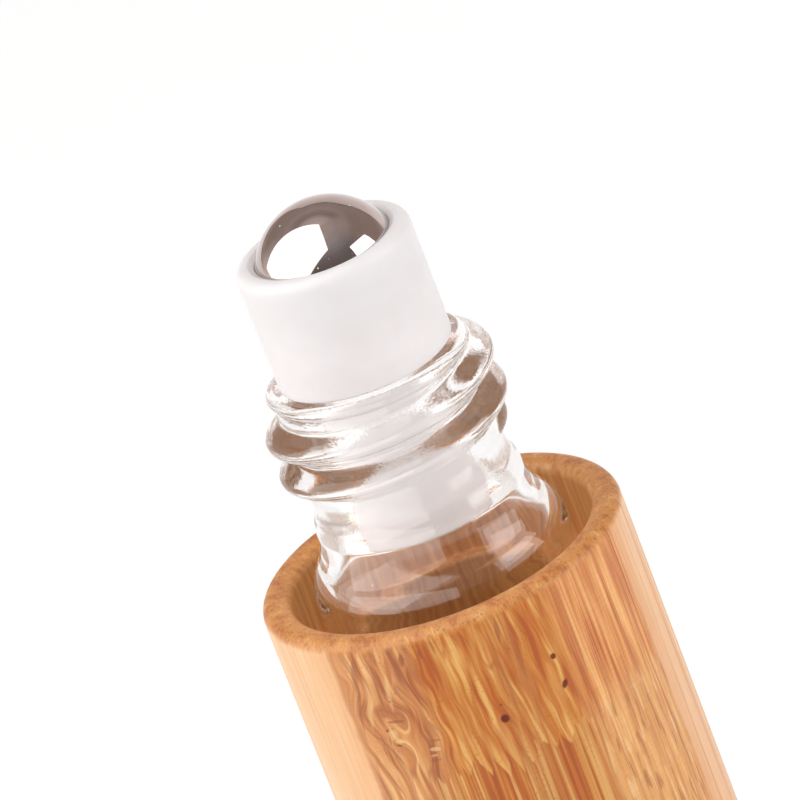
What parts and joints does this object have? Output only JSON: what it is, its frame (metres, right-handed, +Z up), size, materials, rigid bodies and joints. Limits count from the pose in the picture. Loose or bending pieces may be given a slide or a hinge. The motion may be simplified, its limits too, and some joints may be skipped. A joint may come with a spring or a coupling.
{
  "type": "roll on bottle",
  "caption": "Glass vial with a screw neck in a turned bamboo sleeve, with a push-in roller ball fitment for oils and perfume.",
  "frame": {"origin": "centre of the sleeve's base, on the surface that the bottle stands on", "axes": "+Z up along the bottle's axis, towards the ball; +X and +Y across it, with the thread's lower end near +X"},
  "size_m": [0.028, 0.028, 0.089],
  "materials": {
    "bamboo": "sanded bamboo under a thin satin lacquer",
    "glue": "cloudy hot-melt glue",
    "glass": "clear moulded glass",
    "polyethylene": "milky white satin polyethylene",
    "steel": "mirror polished stainless steel"
  },
  "bodies": {
    "bottle": {"bamboo_sleeve": "bamboo", "glue_pad": "glue", "glass_vial": "glass"},
    "fitment": {"roller_housing": "polyethylene"},
    "ball": {"roller_ball": "steel"}
  },
  "joints": [
    {"name": "fitment_pull", "type": "slide", "parent": "bottle", "child": "fitment", "axis": [0, 0, 1], "range_m": [0, 0.02]},
    {"name": "ball_roll", "type": "hinge", "parent": "fitment", "child": "ball", "pos_m": [0, 0, 0.08339], "axis": [1, 0, 0], "continuous": true}
  ]
}
